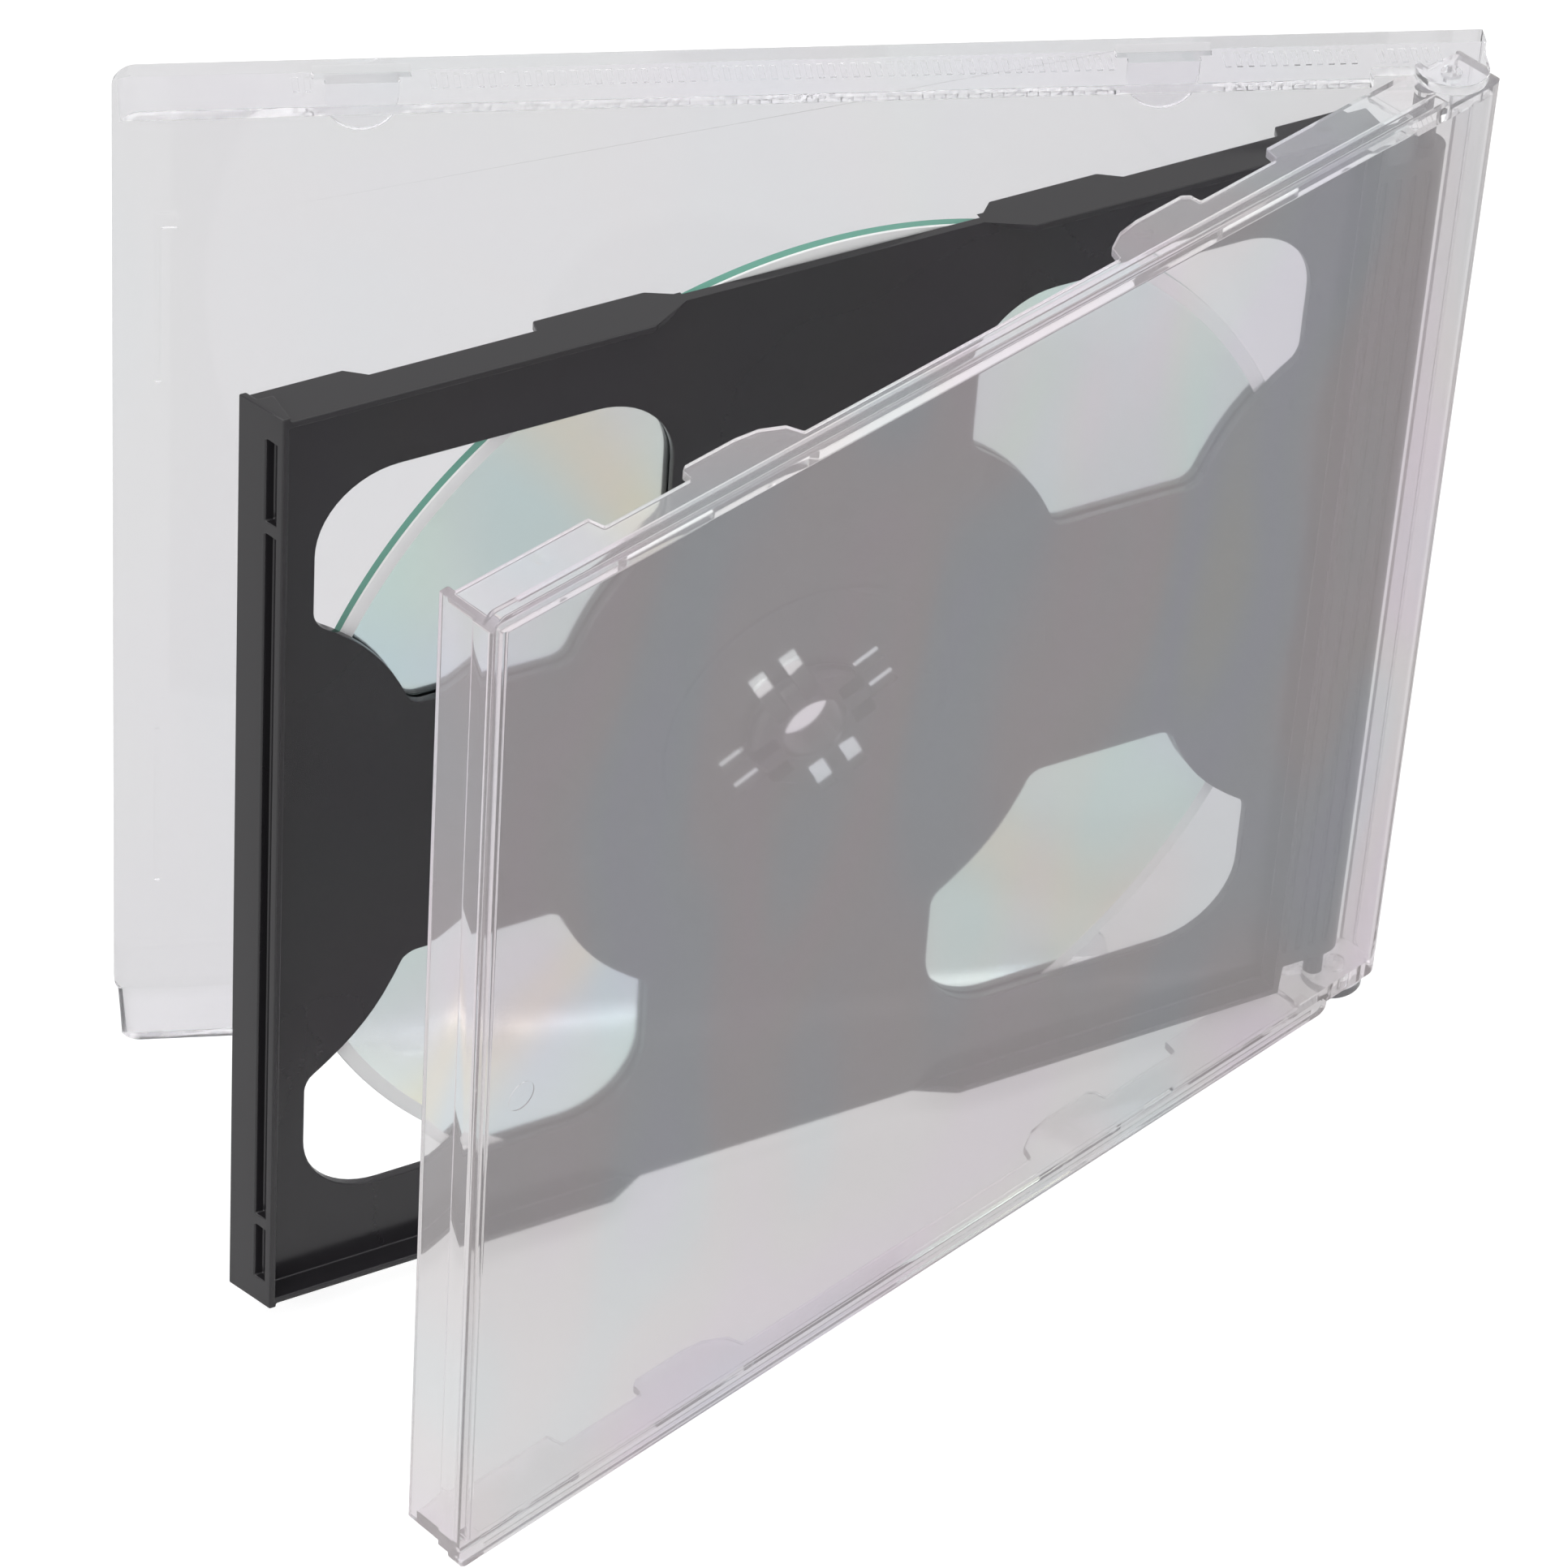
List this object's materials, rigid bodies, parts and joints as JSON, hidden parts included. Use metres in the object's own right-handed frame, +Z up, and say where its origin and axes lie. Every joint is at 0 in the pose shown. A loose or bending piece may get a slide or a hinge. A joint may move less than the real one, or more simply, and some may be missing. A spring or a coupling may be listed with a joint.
{
  "type": "cd jewel case",
  "caption": "Clear hinged case for compact discs, standing open on its long edge like a book, with a black tray that swings like a page and carries a disc on its far side.",
  "frame": {"origin": "on the floor, at the middle of the lower face of the base's standing rim", "axes": "+X from the opening side towards the hinge spine, +Y from the back panel towards the lid, +Z up along the spine"},
  "size_m": [0.1449, 0.0918, 0.125],
  "materials": {
    "clear_base": "clear gloss",
    "black_tray": "gloss",
    "disc": "mirror with faint rainbow",
    "clear_lid": "clear gloss"
  },
  "bodies": {
    "base": {"base": "clear_base"},
    "lid": {"lid": "clear_lid"},
    "tray": {"tray": "black_tray", "disc": "disc"}
  },
  "joints": [
    {"name": "lid_hinge", "type": "hinge", "parent": "base", "child": "lid", "pos_m": [0.0664, 0.00305, 0.0625], "axis": [0, 0, -1], "range_deg": [-37, 143]},
    {"name": "tray_hinge", "type": "hinge", "parent": "base", "child": "tray", "pos_m": [0.0633, 0.00375, 0.0625], "axis": [0, 0, -1], "range_deg": [-16.65, 64.35]}
  ],
  "couplings": [
    {"joint": "tray_hinge", "follows": "lid_hinge", "ratio": 0.45}
  ]
}
